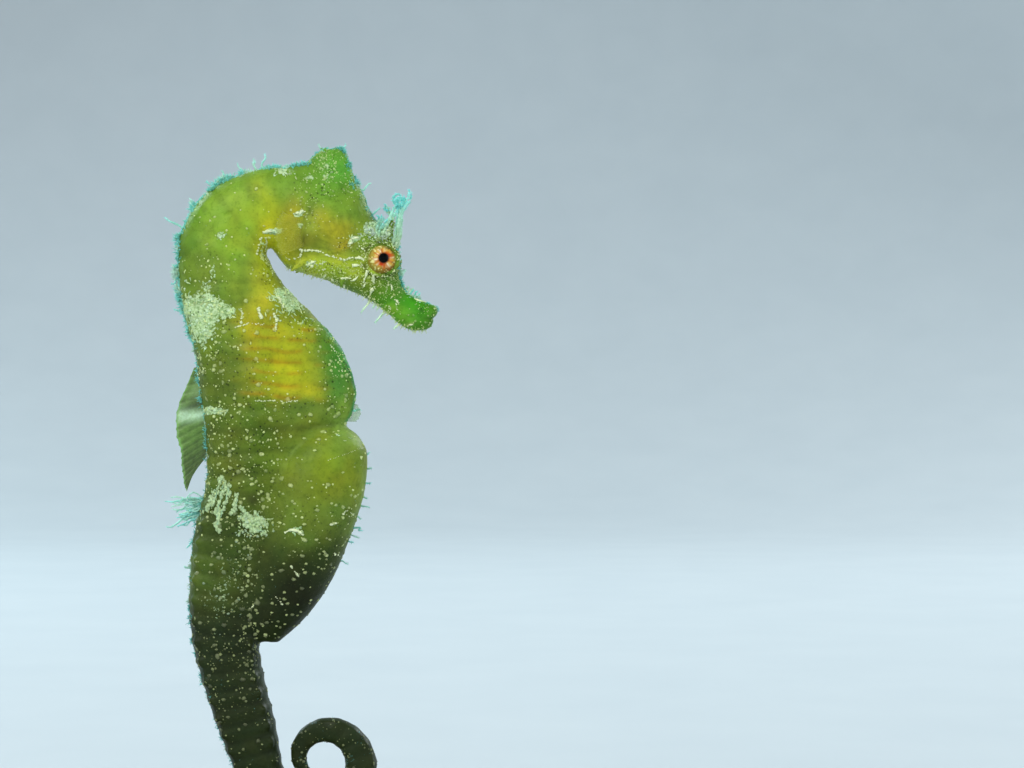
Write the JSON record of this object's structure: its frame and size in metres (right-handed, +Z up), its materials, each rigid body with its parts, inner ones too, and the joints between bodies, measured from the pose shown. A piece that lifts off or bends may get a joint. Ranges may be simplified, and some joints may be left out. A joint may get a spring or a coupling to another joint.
{
  "type": "seahorse",
  "caption": "Still life-size model of a green and yellow adult seahorse with a full pouch, upright with its tail coiled forward, held by short rods on a flat round base.",
  "frame": {"origin": "middle of the flat underside of the stand's base", "axes": "+Z up, +X the way the animal faces, Y = 0 its plane of symmetry"},
  "size_m": [0.06, 0.06, 0.1068],
  "materials": {
    "skin_head": "moist skin, semi-matt",
    "skin_body": "moist skin over bony rings, semi-matt",
    "skin_pouch": "smooth moist skin, semi-matt",
    "skin_tail": "moist skin over bony rings, semi-matt",
    "skin_flap": "thin translucent skin",
    "fin": "thin translucent membrane",
    "eye": "wet gloss",
    "stand_wood": "satin",
    "stand_brass": "satin"
  },
  "bodies": {
    "root": {"head": "skin_head", "coronet": "skin_head", "snout": "skin_head", "lower_jaw": "skin_head", "eye_right": "eye", "eye_left": "eye", "eye_spine_right": "skin_flap", "eye_spine_left": "skin_flap", "pectoral_fin_right": "fin", "pectoral_fin_left": "fin", "neck": "skin_body", "trunk": "skin_body", "brood_pouch": "skin_pouch", "dorsal_fin": "fin", "anal_fin": "fin", "tail_1": "skin_tail", "tail_2": "skin_tail", "tail_3": "skin_tail", "tail_4": "skin_tail", "tail_5": "skin_tail", "tail_6": "skin_tail", "tail_7": "skin_tail", "stand_base": "stand_wood", "stand_collar_rear": "stand_brass", "stand_rod_rear": "stand_brass", "stand_collar_front": "stand_brass", "stand_rod_front": "stand_brass"}
  },
  "joints": []
}
